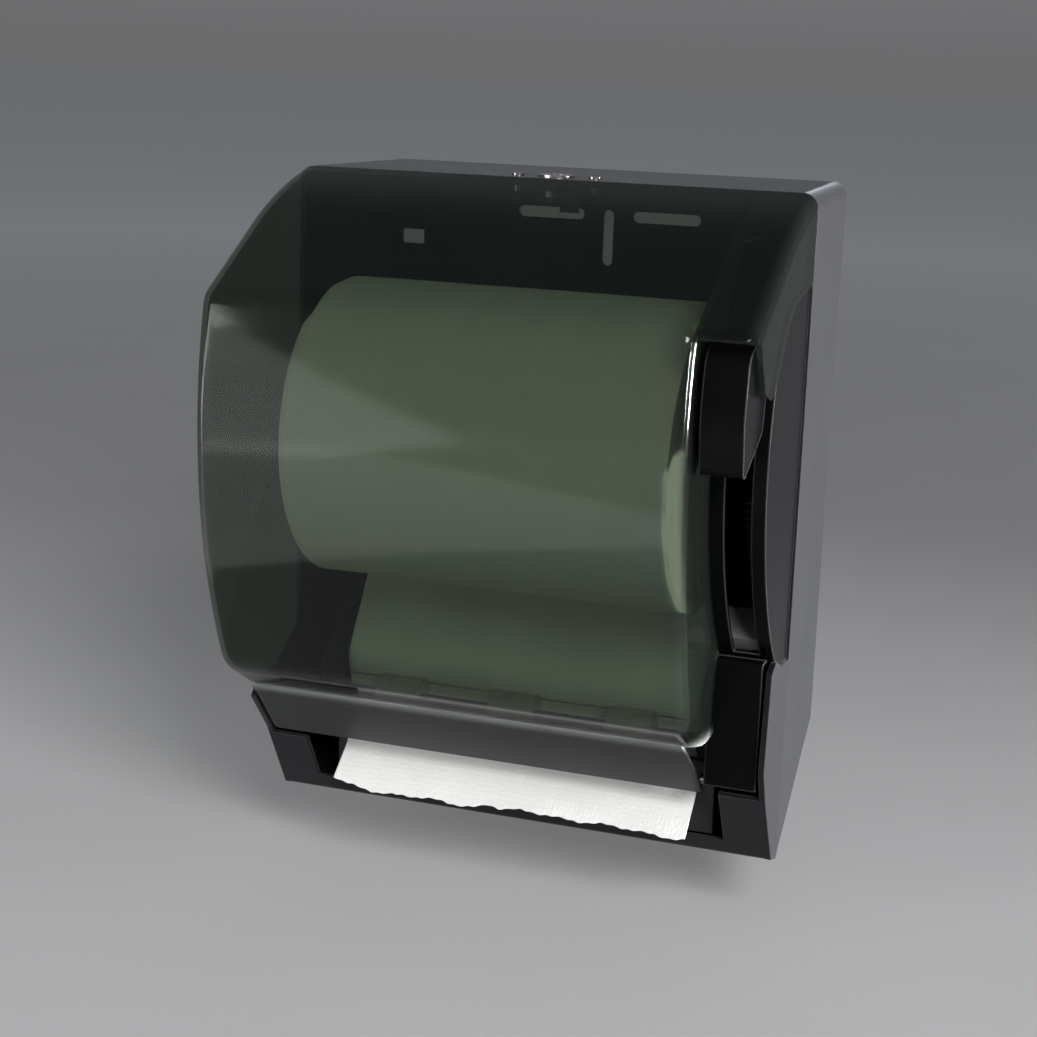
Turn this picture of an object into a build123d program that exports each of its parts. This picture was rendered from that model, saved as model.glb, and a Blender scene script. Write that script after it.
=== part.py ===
from build123d import *
import os
from math import acos, atan2, cos, degrees, hypot, pi, radians, sin, tan

os.makedirs("parts", exist_ok=True)

# A wall-mounted lever dispenser for hard-wound towel rolls. Millimetres, +Z up, front towards -Y.
# The origin is on the wall plane, at the centre of the four wall slots.
# Side outlines are drawn as (out, down): the distance from the wall and the distance below the top.

# Case
TOWEL_WIDTH = 203.0         # the standard towel that the case is made for
SIDE_BAY = 41.5             # from the towel's edge to the outside of the case
DRAFT = 7.0                 # how much narrower each side is at the wall
TOP = 140.0                 # the flat top above the slots' centre
SEAM = 113.0                # depth of the chassis, where the cover starts
SEAM_GAP = 0.6
BACK_DROP = 309.0           # height of the back plate
SHELL = 3.0                 # chassis wall
EDGE_R = 8.0                # rounded long edges of the case

# Front cover, side outline
SHOULDER = (152.0, 11.0)
BROW = (227.6, 57.4)
BELLY = (235.6, 125.0)
CHIN = (206.5, 258.6)
CREASE = (178.0, 276.0)
APRON_END = (149.0, 310.0)
SHOULDER_R = 200.0
BROW_R = 14.0
CHIN_R = 22.0
CREASE_R = 5.0
COVER_WALL = 2.6
BULGE_IN = 29.0             # right wall of the bulge, in from the case side
LIP_DOWN = 61.0             # lower edge of the hood above the lever
LIP_R = 1.8
APRON_GAP = 1.0             # between the apron's right end and the shroud

# Cover hinge
HINGE = (146.0, 304.0)
PIN_R = 2.0
RUNNING = 0.05              # radial clearance of a running fit
SEAT = 0.02                 # radial clearance of a fixed pin in its hole
CHEEK_R = 28.8              # round top of the left cheek, about the hinge
CHEEK_GAP = 0.8
HINGE_CLEAR_R = 10.2        # room for the apron's lower edge as it swings
EAR = 2.8

# Chute
CHUTE_FOOT = (124.5, 351.0)
CHUTE_LOW = (113.0, 354.6)
CHUTE_LEFT_IN = 23.0        # ends of the chute opening, in from the case sides
CHUTE_RIGHT_IN = 25.0
CHUTE_SILL = 12.6           # frame below the chute's opening

# Wall slots
SLOT_SPACING_X = 69.4
SLOT_SPACING_Z = 228.0
SLOT_R = 3.2
SLOT_LENGTH = 40.0
DROP_SLOT_LENGTH = 32.0     # upright slot between the two upper ones
WINDOW = (14.0, 8.5)        # small window at the upper left of the back plate
WINDOW_IN = 22.0            # its middle, in from the case side
WINDOW_DOWN = 45.0

# Lever and its channel
PIVOT = (36.0, 130.0)
FLOOR_CLEAR = 1.5           # arched channel floor, clear of the idler
FLOOR_WALL = 2.5
FLOOR_END = 45.0            # degrees below level
SHROUD_IN = 33.0            # shroud's inner wall, in from the case side
SHROUD_WALL = 2.4
PANEL_IN = 1.2              # shroud's outer panel, set back from the case side
PANEL_WALL = 2.5
ARM_SLOT_ROOM = (3.0, 4.5)  # beside the arm
ARM_SLOT_FROM = -19.0       # degrees below level
ARM_SLOT_TO = 43.0
LEVER_TRAVEL = 40.0
ARM_IN = 13.0               # arm's outer face, in from the case side
ARM_WALL = 6.0
PADDLE_IN = 5.0             # paddle's right side, in from the case side
PADDLE_WIDTH = 21.5
PADDLE_WALL = 2.5
PADDLE_CLEAR = 2.5          # paddle above the channel floor
LEVER_PIN_R = 4.0
LEVER_HUB_R = 13.0
BOX_FRONT = 150.0           # flat recess panel below the channel
BOX_BOTTOM = 305.0
BOX_IN = 5.4                # its right side, in from the case side

# Gear train
MODULE = 1.5
PRESSURE = 25.0
SECTOR_TEETH = 128          # teeth of the full wheel that the sector is cut from
IDLER_TEETH = 35
PINION_TEETH = 14
TRAIN_ANGLE = 61.5          # pivot, idler and drive shaft lie on one line, this far below level
GEAR_WALL = 5.8
GEAR_GAP = 0.2              # between the gears' plane and the lever's arm
BACKLASH = 0.3

# Towel path
ROLL = (143.0, 134.0)
ROLL_R = 79.5
CORE_R = 20.0
CORE_WALL = 1.8
PAPER = 0.5
PAPER_GAP = 0.3
DRIVE_R = 18.0
SHAFT_R = 4.0
PINCH_R = 11.0
NIP_ANGLE = 30.0            # drive roller to pinch roller, below level
PINCH_SHAFT_R = 3.0
SLEEVE_IN = 35.5            # middle of an outer sleeve, in from the towel's edge
SLEEVE_WIDTH = 40.0
WHEEL_WIDTH = 24.0
FRAME_GAP = 8.0             # between the towel's left edge and the left frame
FRAME_WALL = 2.5
TAIL_BEND = 316.0
TAIL_END = (152.0, 338.0)
TAIL_R = 20.0

# Lock
LOCK_OUT = 100.0
LOCK_R = 7.5
LOCK_CORE_R = 5.0
LOCK_DEPTH = 10.0
LOCK_SCREW_X = 21.4

roll_half = TOWEL_WIDTH / 2
half = roll_half + SIDE_BAY
back_half = half - DRAFT
bulge_right = half - BULGE_IN
shroud_x = (half - SHROUD_IN, half - SHROUD_IN + SHROUD_WALL)
panel_x = (half - PANEL_IN - PANEL_WALL, half - PANEL_IN)
arm_x = (half - ARM_IN - ARM_WALL, half - ARM_IN)
arm_slot_x = (arm_x[0] - ARM_SLOT_ROOM[0], arm_x[1] + ARM_SLOT_ROOM[1])
paddle_x = (half - PADDLE_IN - PADDLE_WIDTH, half - PADDLE_IN)
gear_x = (arm_x[0] - GEAR_GAP - GEAR_WALL, arm_x[0] - GEAR_GAP)
frame_x = (-roll_half - FRAME_GAP - FRAME_WALL, -roll_half - FRAME_GAP)
apron_right = shroud_x[0] - APRON_GAP
sleeve_at = (-roll_half + SLEEVE_IN, 0.0, roll_half - SLEEVE_IN)
sector_r = MODULE * SECTOR_TEETH / 2
idler_r = MODULE * IDLER_TEETH / 2
pinion_r = MODULE * PINION_TEETH / 2
floor_r = sector_r + 2 * idler_r + FLOOR_CLEAR
box_top = PIVOT[1] + floor_r * sin(radians(FLOOR_END))
chute_bottom = CHUTE_LOW[1] - CHUTE_SILL
nodes = {}


def at(out, down):
    """A point of a side outline, in (Y, Z)."""
    return (-out, TOP - down)


def polar(centre, radius, angle):
    """The (out, down) point at an angle below level, forward of a centre."""
    return (centre[0] + radius * cos(radians(angle)), centre[1] + radius * sin(radians(angle)))


def outline(points, radii=0):
    """A closed side outline with rounded corners."""
    line = FilletPolyline(*[at(*p) for p in points], radius=radii, close=True)
    return make_face(line)


def disc(centre, radius):
    return Pos(*at(*centre)) * Circle(radius)


def ring(centre, outer, inner):
    return disc(centre, outer) - disc(centre, inner)


def slab(face, x0, x1):
    """A side outline given its width, from x0 to x1."""
    return extrude(Plane.YZ.offset(x0) * face, amount=x1 - x0, dir=(1, 0, 0))


def rod(centre, radius, x0, x1):
    return slab(disc(centre, radius), x0, x1)


def tube(centre, outer, inner, x0, x1):
    return slab(ring(centre, outer, inner), x0, x1)


def block(x0, x1, out0, out1, down0, down1):
    """A box between two x, two distances from the wall and two depths below the top."""
    centre = ((x0 + x1) / 2, -(out0 + out1) / 2, TOP - (down0 + down1) / 2)
    return Pos(*centre) * Box(x1 - x0, abs(out1 - out0), abs(down1 - down0))


def post(x, out, radius, down0, down1):
    """An upright cylinder."""
    centre = (x, -out, TOP - (down0 + down1) / 2)
    return Pos(*centre) * Cylinder(radius, abs(down1 - down0))


def studs(x, down, radius, out0, out1):
    """A cylinder that points out of the wall."""
    centre = (x, -(out0 + out1) / 2, TOP - down)
    return Pos(*centre) * Rot(90, 0, 0) * Cylinder(radius, abs(out1 - out0))


def gear_outline(teeth, centre, first, count=None, inner=None):
    """Involute teeth about a centre; the first tooth points along an angle below level.

    A full wheel has all its teeth. A sector has some of them, and closes along an inner arc.
    """
    pitch = MODULE * teeth / 2
    base = pitch * cos(radians(PRESSURE))
    tip = pitch + 0.95 * MODULE
    root = pitch - 1.25 * MODULE
    start = max(root, base)
    half_tooth = pi / (2 * teeth) - BACKLASH / (2 * pitch)

    def involute(angle):
        return tan(angle) - angle

    def flank(radius):
        spread = involute(radians(PRESSURE)) - involute(acos(min(1.0, base / radius)))
        return degrees(half_tooth + spread)

    def spot(radius, angle):
        return at(*polar(centre, radius, angle))

    edges = []
    total = count or teeth
    step = 360.0 / teeth
    for i in range(total):
        middle = first + i * step
        low = [spot(radius, middle - flank(radius)) for radius in (start, pitch, tip)]
        high = [spot(radius, middle + flank(radius)) for radius in (tip, pitch, start)]
        foot_in = spot(root, middle - flank(start))
        foot_out = spot(root, middle + flank(start))
        next_foot = spot(root, middle + step - flank(start))
        if start > root + 1e-6:
            edges.append(Line(foot_in, low[0]))
        edges.append(ThreePointArc(*low))
        edges.append(ThreePointArc(low[2], spot(tip, middle), high[0]))
        edges.append(ThreePointArc(*high))
        if start > root + 1e-6:
            edges.append(Line(high[2], foot_out))
        if count is None or i < total - 1:
            edges.append(Line(foot_out, next_foot))
    if count is not None:
        begin = first - flank(start)
        end = first + (total - 1) * step + flank(start)
        edges.append(Line(spot(root, end), spot(inner, end)))
        between = spot(inner, (begin + end) / 2)
        edges.append(ThreePointArc(spot(inner, end), between, spot(inner, begin)))
        edges.append(Line(spot(inner, begin), spot(root, begin)))
    return make_face(edges)


# Front cover: one smoke-tinted moulding, with a bulge over the roll and a hood over the lever

def cover_outline(start):
    """The whole side outline of the cover, from a start on its first slope."""
    behind = (SEAM, APRON_END[1] + 20)
    edges = [
        Line(at(*start), at(*SHOULDER)),
        Line(at(*SHOULDER), at(*BROW)),
        ThreePointArc(at(*BROW), at(*BELLY), at(*CHIN)),
        Line(at(*CHIN), at(*CREASE)),
        Line(at(*CREASE), at(*APRON_END)),
        Line(at(*APRON_END), at(start[0], behind[1])),
        Line(at(start[0], behind[1]), at(*start)),
    ]
    face = make_face(edges)
    for corner, radius in ((SHOULDER, SHOULDER_R), (BROW, BROW_R), (CHIN, CHIN_R), (CREASE, CREASE_R)):
        vertex = face.vertices().sort_by_distance(Vector(*at(*corner), 0))[0]
        face = fillet(vertex, radius)
    return face


def rounded_slab(face, x0, x1, radius, back):
    """The cover's outline given its width, with its outer edges rounded at both ends."""
    solid = slab(face, x0, x1)
    rims = []
    for x in (x0, x1):
        for edge in solid.edges():
            middle = edge.center()
            on_end = abs(middle.X - x) < 1e-3 and edge.bounding_box().size.X < 1e-3
            outer = middle.Y < -back - 1e-3 and middle.Z > TOP - APRON_END[1] - 1
            if on_end and outer:
                rims.append(edge)
    return fillet(rims, radius)


slope = SHOULDER[1] / (SHOULDER[0] - SEAM)
seam_start = (SEAM, 0.0)
inside_start = (SEAM - 40, -40 * slope)
outer_face = cover_outline(seam_start)
inner_face = offset(cover_outline(inside_start), -COVER_WALL)
inner_back = inside_start[0] + COVER_WALL
inner_edge_r = EDGE_R - COVER_WALL
cover_room = rounded_slab(inner_face, -half + COVER_WALL, half - COVER_WALL, inner_edge_r, inner_back)
bulge_room_x = (-half + COVER_WALL, bulge_right - COVER_WALL)
bulge_room = rounded_slab(inner_face, *bulge_room_x, inner_edge_r, inner_back)
bulge = rounded_slab(outer_face, -half, bulge_right, EDGE_R, SEAM) - bulge_room

# The hood runs on to the right side and hangs down there as a rounded tongue
TONGUE_SEAM = [(SEAM - 20, 43.5), (150.0, 49.5), (166.0, 64.0), (179.0, 82.0)]
TONGUE_TIP = [(194.0, 93.5), (208.0, 88.0)]
tongue_out = BELLY[0] + 15
tongue = [(SEAM - 20, -20), (tongue_out, -20), (tongue_out, LIP_DOWN - 1), (BROW[0] - 3.6, LIP_DOWN)]
tongue += TONGUE_TIP[::-1] + TONGUE_SEAM[::-1]
tongue_region = outline(tongue, [0, 0, 0, 6, 7, 7, 20, 20, 40, 0])
HOOD_LAP = 24.0             # the hood's skin runs on into the bulge's
hood = rounded_slab(outer_face, -half, half, EDGE_R, SEAM) - cover_room
hood = hood & slab(tongue_region, bulge_right - HOOD_LAP, half + 5)
lip = rod((BROW[0] - 2.6, LIP_DOWN + 0.3), LIP_R, bulge_right - 1.5, half - COVER_WALL)
cover = bulge + hood + lip

# The left wall stops above the cheek, on a line and an arc about the hinge
cover_arc_r = CHEEK_R + CHEEK_GAP
SIDE_FOOT = (SEAM, 259.0)
SIDE_BEND = (140.0, 275.0)
below = APRON_END[1] + 35
side_back = SEAM - 23
below_side = outline(
    [(side_back, SIDE_FOOT[1] - 13), SIDE_FOOT, SIDE_BEND, HINGE, (SEAM + 7, below), (side_back, below)])
below_side += disc(HINGE, cover_arc_r)
cover -= slab(below_side, -half - 5, -half + SHELL + 0.4)
# The bulge's right wall stops short of the channel floor, the recess box and the hinge
right_x = bulge_right - COVER_WALL - 0.2
box_room = (BOX_FRONT + 2, box_top - 25)
recess = [(side_back, box_room[1]), box_room, (box_room[0], below), (side_back, below)]
behind_channel = disc(PIVOT, floor_r + 1.3) + outline(recess)
right_cut = slab(behind_channel + disc(HINGE, cover_arc_r), right_x, bulge_right + 1)
cover -= right_cut - block(right_x - 1, half, side_back, tongue_out, -30, 20)
# The apron's right end curves in towards the crease
apron_end = make_face([
    ThreePointArc(
        (apron_right - 5, TOP - CREASE[1]), (apron_right - 1.3, TOP - 294), (apron_right, TOP - 312)),
    Line((apron_right, TOP - 312), (half, TOP - 312)),
    Line((half, TOP - 312), (half, TOP - CREASE[1])),
    Line((half, TOP - CREASE[1]), (apron_right - 5, TOP - CREASE[1])),
])
cover -= extrude(Plane.XZ.offset(100) * apron_end, amount=150, dir=(0, -1, 0))
# Hinge ears behind the apron, whose lower edge is cut square
run = hypot(CREASE[0] - APRON_END[0], CREASE[1] - APRON_END[1])
along = ((CREASE[0] - APRON_END[0]) / run, (CREASE[1] - APRON_END[1]) / run)
inward = (along[1], -along[0])


def apron_point(distance, depth):
    """A point behind the apron: a distance up from its lower edge, and a depth behind its face."""
    out = APRON_END[0] + along[0] * distance + inward[0] * depth
    down = APRON_END[1] + along[1] * distance + inward[1] * depth
    return (out, down)


below_apron = [apron_point(0, -10), apron_point(0, 90), apron_point(-90, 90), apron_point(-90, -10)]
cover -= slab(outline(below_apron), -half - 5, half + 5)
EAR_R = 4.2
ear_outline = outline([
    apron_point(1.5, COVER_WALL / 2),
    apron_point(20, COVER_WALL / 2),
    (HINGE[0] + inward[0] * EAR_R, HINGE[1] + inward[1] * EAR_R),
    (HINGE[0] - along[0] * EAR_R, HINGE[1] - along[1] * EAR_R),
]) + disc(HINGE, EAR_R)
LEFT_EAR = -half + SHELL + 0.8
RIGHT_EAR = apron_right - 1.0 - EAR
for ear_x in (LEFT_EAR, RIGHT_EAR):
    cover += slab(ear_outline, ear_x, ear_x + EAR)
    cover -= rod(HINGE, PIN_R + RUNNING, ear_x - 1, ear_x + EAR + 1)
nodes["front_cover"] = cover

# Chassis: black tray with a back plate, a top, drafted sides, cheeks and the chute frame

def plan(wall):
    """The case seen from above, with the sides' draft."""
    return make_face(Polyline(
        (-back_half + wall, 5), (back_half - wall, 5), (back_half - wall, 0), (half - wall, -SEAM),
        (half - wall, -BELLY[0] - 20), (-half + wall, -BELLY[0] - 20), (-half + wall, -SEAM),
        (-back_half + wall, 0), close=True))


front_edge = SEAM - SEAM_GAP
foot_slope = (CHUTE_LOW[1] - BACK_DROP) / CHUTE_LOW[0]


def underside(out):
    """How far below the top the case ends, at a distance from the wall."""
    return BACK_DROP + foot_slope * out


def top_edges(solid, level):
    """The long edges at both sides of a level top."""
    return [e for e in solid.edges() if abs(e.center().Z - level) < 1e-3 and abs(e.center().X) > EDGE_R]


tray_face = outline([(0, 0), (front_edge, 0), (front_edge, underside(front_edge)), (0, BACK_DROP)])
tray = slab(tray_face, -half - 5, half + 5) & extrude(plan(0), amount=3 * BACK_DROP, both=True)
tray = fillet(top_edges(tray, TOP), EDGE_R)
beyond = BELLY[0]
room_face = outline(
    [(SHELL, SHELL), (beyond, SHELL), (beyond, underside(beyond) - SHELL), (SHELL, underside(SHELL) - SHELL)])
room = slab(room_face, -half - 5, half + 5) & extrude(plan(SHELL), amount=3 * BACK_DROP, both=True)
room = fillet(top_edges(room, TOP - SHELL), EDGE_R - SHELL)
shell = tray - room

in_front = outline([apron_point(-60, 0), apron_point(90, 0), (tongue_out, 250), (tongue_out, 370)])
left_cheek = Pos(0, -CHEEK_GAP) * outline([SIDE_FOOT, SIDE_BEND, HINGE, APRON_END, CHUTE_FOOT, CHUTE_LOW])
cheek_root = SEAM - SHELL
cheek_left = (left_cheek + (disc(HINGE, CHEEK_R) - in_front)) & outline(
    [(cheek_root, 250), (200, 250), APRON_END, CHUTE_FOOT, CHUTE_LOW, (cheek_root, underside(cheek_root))])
shell += slab(cheek_left, -half, -half + SHELL)
RIGHT_CHEEK = [(cheek_root, 243.0), (131.0, 241.6), (143.0, 236.0), (152.0, 240.0), (157.0, 292.0), APRON_END]
right_low = [CHUTE_FOOT, CHUTE_LOW, (cheek_root, underside(cheek_root))]
right_cheek = outline(RIGHT_CHEEK + right_low, [0, 0, 3, 4, 6, 0, 0, 0, 0])
shell += slab(right_cheek, half - SHELL, half)
face_across = (APRON_END[0] - CHUTE_FOOT[0], APRON_END[1] - CHUTE_FOOT[1])
face_scale = SHELL / hypot(*face_across)
face_in = (face_across[1] * face_scale, -face_across[0] * face_scale)
chute_face = outline([
    APRON_END,
    CHUTE_FOOT,
    CHUTE_LOW,
    (cheek_root, underside(cheek_root)),
    (cheek_root, underside(cheek_root) - SHELL),
    (CHUTE_LOW[0], CHUTE_LOW[1] - SHELL),
    (CHUTE_FOOT[0] + face_in[0], CHUTE_FOOT[1] + face_in[1]),
    (APRON_END[0] + face_in[0], APRON_END[1] + face_in[1]),
], [0, 4, 3, 0, 0, 2, 2, 0])
frame = slab(chute_face, -half + SHELL, half - SHELL)
chute_x = (-half + CHUTE_LEFT_IN, half - CHUTE_RIGHT_IN)
frame -= block(*chute_x, SEAM - 13, BELLY[0], APRON_END[1] - 10, chute_bottom)
shell += frame
shell -= rod(HINGE, HINGE_CLEAR_R, -half + SHELL, apron_right + 0.4)

# Openings of the back plate
slot_down = TOP - SLOT_SPACING_Z / 2
for slot_x in (-SLOT_SPACING_X / 2, SLOT_SPACING_X / 2):
    for slot_z in (-SLOT_SPACING_Z / 2, SLOT_SPACING_Z / 2):
        slot = Plane.XZ * (Pos(slot_x, slot_z) * SlotOverall(SLOT_LENGTH, 2 * SLOT_R))
        shell -= extrude(slot, amount=SHELL + 1, both=True)
drop_middle = TOP - slot_down + SLOT_R - DROP_SLOT_LENGTH / 2
drop_slot = Plane.XZ * (Pos(0, drop_middle) * SlotOverall(DROP_SLOT_LENGTH, 2 * SLOT_R, rotation=90))
shell -= extrude(drop_slot, amount=SHELL + 1, both=True)
window = Plane.XZ * (Pos(-half + WINDOW_IN, TOP - WINDOW_DOWN) * RectangleRounded(*WINDOW, 1.0))
shell -= extrude(window, amount=SHELL + 1, both=True)

# Bosses and holes of the chassis
side_slope = (half - back_half) / SEAM
BOSS_R = 9.0
PIN_BOSS_GAP = 1.5          # between the lever's arm and the boss of its pin
boss_x = arm_x[1] + PIN_BOSS_GAP
side_at_pivot = back_half + side_slope * PIVOT[0]
shell += tube(PIVOT, BOSS_R, LEVER_PIN_R + SEAT, boss_x, side_at_pivot - SHELL / 2)
shell -= rod(HINGE, PIN_R + SEAT, -half + 1, -half + SHELL + 1)
SCREW_R = 2.0
TABS = (55.0, 277.0)        # shroud and frame tabs on the back plate, below the top
TAB_GAP = 5.6               # from the shroud's wall to the tab screws
TAB = 2.5
TAB_HALF = 12.0
tab_x = shroud_x[1] + TAB_GAP
tab_face = SHELL + TAB
for tab_down in TABS:
    shell -= studs(tab_x, tab_down, SCREW_R + SEAT, -1, SHELL + 1)
shell -= studs(-tab_x, TABS[1], SCREW_R + SEAT, -1, SHELL + 1)
shell -= post(0, LOCK_OUT, LOCK_R + SEAT, -1, SHELL + 1)
for screw_x in (-LOCK_SCREW_X, LOCK_SCREW_X):
    shell -= post(screw_x, LOCK_OUT, SCREW_R + SEAT, -1, SHELL + 1)
# Left arm of the roll: its plate, hinge pin and bracket on the back plate
ARM_GAP = 5.7               # between the towel's left edge and the arm
ARM_SHEET = 3.6
ARM_HINGE_IN = 2.7          # hinge pin outside the arm
ARM_HINGE_OUT = 12.0
ARM_HALF = 22.0             # half the height of the arm's knuckle
arm_plate_x = (-roll_half - ARM_GAP - ARM_SHEET, -roll_half - ARM_GAP)
arm_hinge_x = arm_plate_x[0] - ARM_HINGE_IN
bracket_screw_x = arm_hinge_x - 8.5
bracket_screws_down = (ROLL[1] - 12, ROLL[1] + 12)
for bracket_down in bracket_screws_down:
    shell -= studs(bracket_screw_x, bracket_down, SCREW_R + SEAT, -1, SHELL + 1)
nodes["chassis_shell"] = shell

# Lever shroud: the black housing with the arched channel, its outer panel and the recess box
CHANNEL_TOP = 24.0
past_floor = PIVOT[0] + floor_r + 10
channel = outline([(SHELL, CHANNEL_TOP), (past_floor, CHANNEL_TOP), (past_floor, box_top), (SHELL, box_top)])
inner_wall = (disc(PIVOT, floor_r) & channel) + outline(
    [(SHELL, box_top - 8), (PIVOT[0] + 100, box_top - 8), (BOX_FRONT, box_top), (BOX_FRONT, BOX_BOTTOM),
     (SHELL, BOX_BOTTOM - 2)])
shroud = slab(inner_wall, *shroud_x)
arch = outline([(100, CHANNEL_TOP), (past_floor, CHANNEL_TOP), (past_floor, box_top), (100, box_top)])
floor = slab(ring(PIVOT, floor_r, floor_r - FLOOR_WALL) & arch, shroud_x[1] - 0.1, panel_x[0] + 0.1)
arm_way = outline([PIVOT, polar(PIVOT, 2 * floor_r, ARM_SLOT_FROM), polar(PIVOT, 2 * floor_r, ARM_SLOT_TO)])
shroud += floor - slab(arm_way, *arm_slot_x)
PANEL_GAP = 0.7
panel_back = front_edge + PANEL_GAP
panel_low = [(left, low - PANEL_GAP) for left, low in RIGHT_CHEEK[1:3]]
panel = outline(
    [(panel_back, 20), (past_floor, 20), (past_floor, panel_low[1][1]), panel_low[1], panel_low[0],
     (panel_back, RIGHT_CHEEK[0][1] - PANEL_GAP)])
panel = (panel & disc(PIVOT, floor_r)) - offset(tongue_region, PANEL_GAP)
shroud += slab(panel, *panel_x)
ledge_back = PIVOT[0] + floor_r * cos(radians(FLOOR_END)) - FLOOR_WALL
box_back = BOX_FRONT - 22
box_face = outline([
    (ledge_back, box_top), (BOX_FRONT, box_top), (BOX_FRONT, BOX_BOTTOM), (box_back, BOX_BOTTOM),
    (box_back, BOX_BOTTOM - FLOOR_WALL), (BOX_FRONT - FLOOR_WALL, BOX_BOTTOM - FLOOR_WALL),
    (BOX_FRONT - FLOOR_WALL, box_top + FLOOR_WALL), (ledge_back, box_top + FLOOR_WALL)],
    [0, 2, 0, 0, 0, 0, 0, 0])
shroud += slab(box_face, shroud_x[1] - 0.1, half - BOX_IN)
for tab_down in TABS:
    shroud += block(shroud_x[1] - 0.1, tab_x + 6, SHELL, tab_face, tab_down - TAB_HALF, tab_down + TAB_HALF)
    shroud -= studs(tab_x, tab_down, SCREW_R + SEAT, 0, 20)
IDLER = polar(PIVOT, sector_r + idler_r, TRAIN_ANGLE)
DRIVE = polar(PIVOT, sector_r + 2 * idler_r + pinion_r, TRAIN_ANGLE)
IDLER_PIN_R = 4.0
BUSH_R = 6.5
SPINDLE_R = 5.0
shroud -= rod(PIVOT, LEVER_PIN_R + SEAT, shroud_x[0] - 1, shroud_x[1] + 1)
shroud -= rod(IDLER, IDLER_PIN_R + SEAT, shroud_x[0] - 1, shroud_x[1] + 1)
shroud -= rod(DRIVE, BUSH_R + SEAT, shroud_x[0] - 1, shroud_x[1] + 1)
shroud -= rod(ROLL, SPINDLE_R + SEAT, shroud_x[0] - 1, shroud_x[1] + 1)
shroud -= rod(HINGE, PIN_R + SEAT, shroud_x[0] - 1, shroud_x[1] + 1)
nodes["lever_shroud"] = shroud

# Lever: one moulding with a hub, an arm through the channel slot and a hooded paddle
paddle_back = floor_r + PADDLE_CLEAR
# Heights above the channel floor and angles below level: back, top, brow, front, lip and lower back
PADDLE = [(2.1, -24.9), (27.3, -22.4), (45.1, -18.5), (42.7, -9.6), (35.5, -0.6), (1.5, -8.0)]
HOLLOW = [(-20.7, -28.2), (25.9, -21.6), (41.9, -18.1), (40.0, -9.7), (32.6, 0.3), (20.2, 6.7), (-35.9, -2.5)]
ARM_END = [(-4.4, -15.9), (26.0, -21.3), (41.4, -17.0), (38.4, -9.2), (28.2, -2.9), (1.3, -3.4)]


def over_floor(places):
    """Points at heights above the channel floor and angles about the pivot."""
    return [polar(PIVOT, floor_r + height, angle) for height, angle in places]


paddle_face = outline(over_floor(PADDLE), [0, 10, 12, 60, 3, 0]) - disc(PIVOT, paddle_back)
hollow = outline(over_floor(HOLLOW), [0, 8, 10, 58, 0, 0, 0])
lever = slab(paddle_face, *paddle_x)
lever -= slab(hollow, paddle_x[0] + PADDLE_WALL, paddle_x[1] - PADDLE_WALL)
arm_root = LEVER_HUB_R - 1
arm_foot = [(PIVOT[0], PIVOT[1] + arm_root), (PIVOT[0], PIVOT[1] - arm_root)]
arm_face = outline(over_floor(ARM_END) + arm_foot)
hub_x = (gear_x[1], boss_x - 0.5)
lever += slab(arm_face, *arm_x)
lever += rod(PIVOT, LEVER_HUB_R, *hub_x)
lever -= rod(PIVOT, LEVER_PIN_R + RUNNING, 0, half)
SECTOR_SCREWS = [polar(PIVOT, 60, -1.0), polar(PIVOT, 30, -4.0)]
for spot in SECTOR_SCREWS:
    lever -= rod(spot, 1.5 + SEAT, *arm_x)
nodes["lever"] = lever

# Sector gear, screwed to the side of the lever's arm
sector_step = 360.0 / SECTOR_TEETH
teeth_before = round((LEVER_TRAVEL + 5) / sector_step)
teeth_after = round(4.5 / sector_step)
sector_first = TRAIN_ANGLE - teeth_before * sector_step
rim = gear_outline(SECTOR_TEETH, PIVOT, sector_first, teeth_before + teeth_after + 1, sector_r - 9)
sector_last = TRAIN_ANGLE + teeth_after * sector_step
spoke_r = sector_r - 5
spoke = outline([
    polar(PIVOT, LEVER_HUB_R - 2, -90), polar(PIVOT, 66, -6), polar(PIVOT, 66, 6),
    polar(PIVOT, spoke_r, sector_first), polar(PIVOT, spoke_r, (sector_first + sector_last) / 2),
    polar(PIVOT, spoke_r, sector_last), polar(PIVOT, LEVER_HUB_R - 2, 150)], [0, 3, 3, 0, 0, 0, 0])
sector_face = rim + spoke + disc(PIVOT, LEVER_HUB_R)
sector = slab(sector_face, *gear_x) - rod(PIVOT, LEVER_PIN_R + RUNNING, 0, half)
for spot in SECTOR_SCREWS:
    sector -= rod(spot, 1.5 + SEAT, *gear_x)
nodes["sector_gear"] = sector
screws = Part()
for spot in SECTOR_SCREWS:
    screws += rod(spot, 1.5, gear_x[0], arm_x[1] - 1) + rod(spot, 2.8, gear_x[0] - 1.6, gear_x[0])
nodes["sector_screws"] = screws

# Lever pin, held in the shroud's wall and the chassis boss
nodes["lever_pin"] = rod(PIVOT, LEVER_PIN_R, shroud_x[0], side_at_pivot - SHELL - 0.6)
# Return spring round the pin, with one leg on the shroud and one under the sector
WIRE = 1.4
COIL_R = 7.6
LEG = 32.0
spring_x = (shroud_x[1] + 0.8, gear_x[0] - 1.0)


def spring_leg(angle, turn):
    """A straight leg off the coil, from an angle about the pivot to that angle plus a turn."""
    root = COIL_R - WIRE / 2
    tip = angle + turn
    return outline([polar(PIVOT, root, angle), polar(PIVOT, LEG, tip), polar(PIVOT, LEG, tip + 2.5),
                    polar(PIVOT, root, angle + 12)])


coil = tube(PIVOT, COIL_R, COIL_R - WIRE, *spring_x)
coil += slab(spring_leg(0, -14), spring_x[0], spring_x[0] + WIRE)
nodes["lever_spring"] = coil + slab(spring_leg(80, 20), spring_x[1] - WIRE, spring_x[1])
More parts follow.
